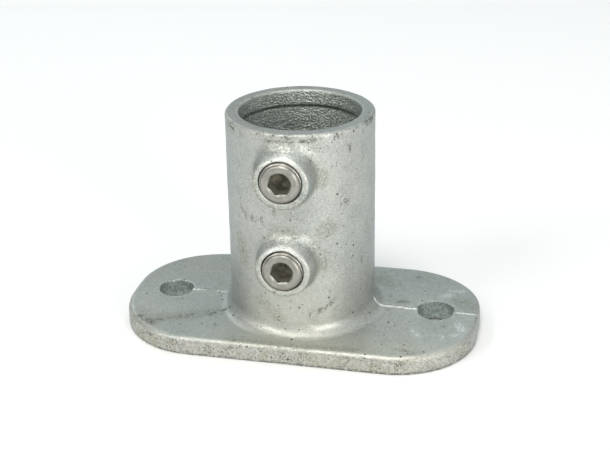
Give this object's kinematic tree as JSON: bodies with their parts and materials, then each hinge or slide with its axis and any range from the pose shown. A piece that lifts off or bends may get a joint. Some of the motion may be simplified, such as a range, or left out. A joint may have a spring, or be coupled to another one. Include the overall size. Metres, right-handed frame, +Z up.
{
  "type": "stanchion base",
  "caption": "Galvanised cast-iron stanchion base: an oval flange plate with fixing holes and an upright collar that grips a round tube with hexagon-socket set screws.",
  "frame": {"origin": "on the underside of the plate, on the axis of the collar and its tube socket", "axes": "+Z up along the tube, +X along the plate's length through the fixing holes, the set screws face -Y and are driven in along +Y"},
  "size_m": [0.149, 0.08, 0.0942],
  "materials": {
    "galvanised_iron": "hot-dip galvanised casting, matt light grey with a fine rough grain, dark pits and brown-olive stains",
    "screw_steel": "turned steel with a thin bright plating, satin face and polished chamfers"
  },
  "bodies": {
    "base": {"base_casting": "galvanised_iron"},
    "upper_screw": {"upper_set_screw": "screw_steel"},
    "lower_screw": {"lower_set_screw": "screw_steel"}
  },
  "joints": [
    {"name": "upper_screw_travel", "type": "slide", "parent": "base", "child": "upper_screw", "axis": [0, 1, 0], "range_m": [-0.009, 0.002]},
    {"name": "lower_screw_travel", "type": "slide", "parent": "base", "child": "lower_screw", "axis": [0, 1, 0], "range_m": [-0.009, 0.002]}
  ]
}
